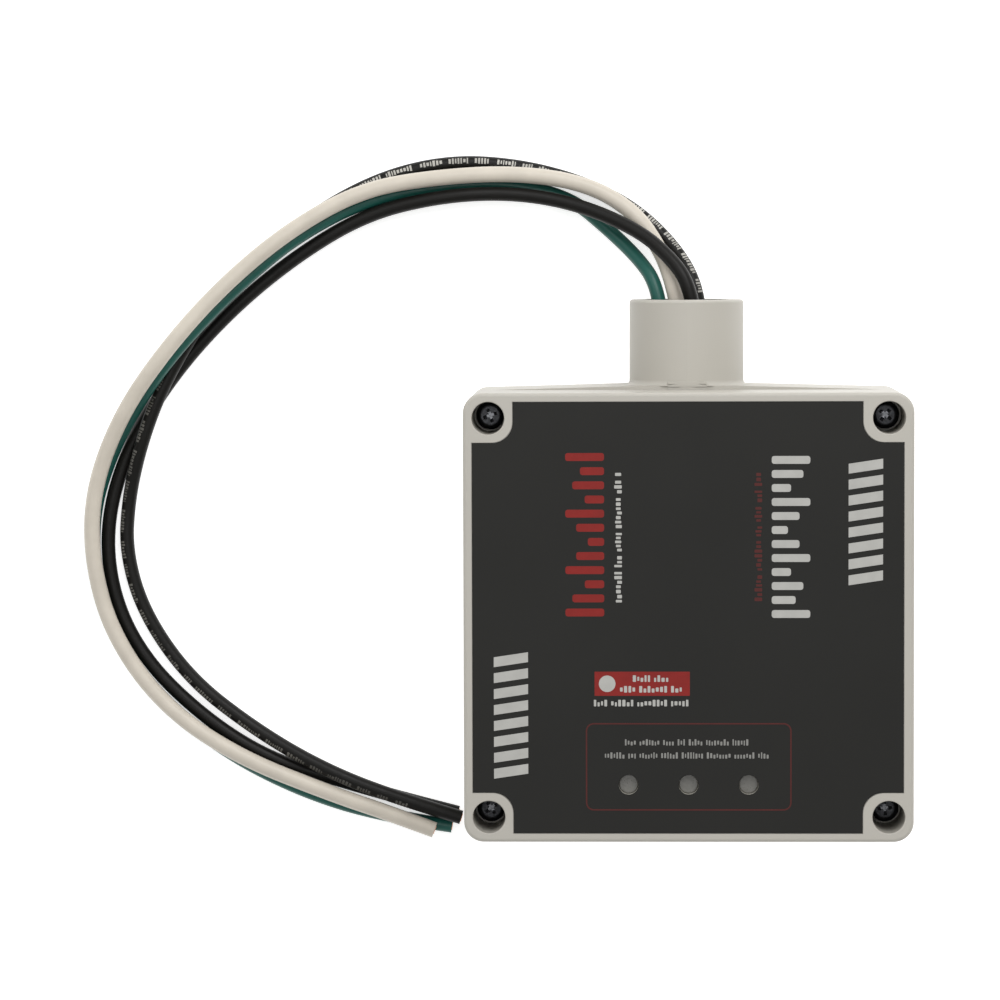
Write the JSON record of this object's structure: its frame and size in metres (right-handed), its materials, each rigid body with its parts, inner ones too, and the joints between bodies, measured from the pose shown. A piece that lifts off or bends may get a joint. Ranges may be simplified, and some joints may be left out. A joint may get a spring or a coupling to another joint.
{
  "type": "whole house surge protector",
  "caption": "Square moulded surge protector with a screwed cover, status lights, a round conduit hub and loose wiring leads that connect it to an electrical panel.",
  "frame": {"origin": "centre of the case's flat back face", "axes": "+Z out of the front cover, +Y out of the conduit hub, +X to the right seen from the front"},
  "size_m": [0.2461, 0.2051, 0.062],
  "materials": {
    "case_plastic": "fine-textured moulded grey, satin",
    "gasket_rubber": "closed-cell rubber",
    "overlay_film": "satin charcoal film",
    "clear_acrylic": "clear acrylic",
    "black_steel": "black oxide steel",
    "insert_brass": "turned brass",
    "board_laminate": "green solder mask",
    "insulating_paper": "pressed insulating paper",
    "zinc_steel": "zinc-plated steel",
    "varistor_coating": "blue epoxy coating",
    "fuse_body": "white ceramic tube",
    "bus_copper": "bare copper, brushed",
    "lug_tin": "tin-plated copper",
    "capacitor_box": "yellow box, semi-gloss",
    "tube_ceramic": "pink-white ceramic",
    "resistor_lacquer": "tan lacquer",
    "diode_epoxy": "black epoxy",
    "led_epoxy": "pale diffused epoxy",
    "seal_compound": "black potting compound",
    "pvc_black": "semi-gloss nylon jacket",
    "pvc_white": "semi-gloss nylon jacket",
    "pvc_green": "semi-gloss nylon jacket"
  },
  "bodies": {
    "base": {"rear_base": "case_plastic", "cover_gasket": "gasket_rubber", "screw_inserts": "insert_brass", "fuse_clips": "insert_brass", "circuit_board": "board_laminate", "insulating_sheet": "insulating_paper", "board_screws": "zinc_steel", "varistors_line1": "varistor_coating", "varistors_line2": "varistor_coating", "varistors_neutral": "varistor_coating", "thermal_fuses": "fuse_body", "bus_bars": "bus_copper", "lead_lugs": "lug_tin", "filter_capacitors": "capacitor_box", "gas_discharge_tube": "tube_ceramic", "led_resistors": "resistor_lacquer", "rectifier_diodes": "diode_epoxy", "status_leds": "led_epoxy", "hub_seal": "seal_compound", "line1_lead": "pvc_black", "line2_lead": "pvc_black", "line1_tail": "pvc_black", "line2_tail": "pvc_black", "neutral_lead": "pvc_white", "neutral_tail": "pvc_white", "ground_lead": "pvc_green", "ground_tail": "pvc_green"},
    "cover": {"front_cover": "case_plastic", "graphic_overlay": "overlay_film", "light_pipe_left": "clear_acrylic", "light_pipe_middle": "clear_acrylic", "light_pipe_right": "clear_acrylic"},
    "screw_1": {"cover_screw_1": "black_steel"},
    "screw_2": {"cover_screw_2": "black_steel"},
    "screw_3": {"cover_screw_3": "black_steel"},
    "screw_4": {"cover_screw_4": "black_steel"}
  },
  "joints": [
    {"name": "cover_lift", "type": "slide", "parent": "base", "child": "cover", "axis": [0, 0, 1], "range_m": [0, 0.08]},
    {"name": "screw_1_turn", "type": "hinge", "parent": "cover", "child": "screw_1", "pos_m": [-0.05775, 0.05775, 0.04], "axis": [0, 0, 1], "continuous": true},
    {"name": "screw_2_turn", "type": "hinge", "parent": "cover", "child": "screw_2", "pos_m": [0.05775, 0.05775, 0.04], "axis": [0, 0, 1], "continuous": true},
    {"name": "screw_3_turn", "type": "hinge", "parent": "cover", "child": "screw_3", "pos_m": [-0.05775, -0.05775, 0.04], "axis": [0, 0, 1], "continuous": true},
    {"name": "screw_4_turn", "type": "hinge", "parent": "cover", "child": "screw_4", "pos_m": [0.05775, -0.05775, 0.04], "axis": [0, 0, 1], "continuous": true}
  ]
}
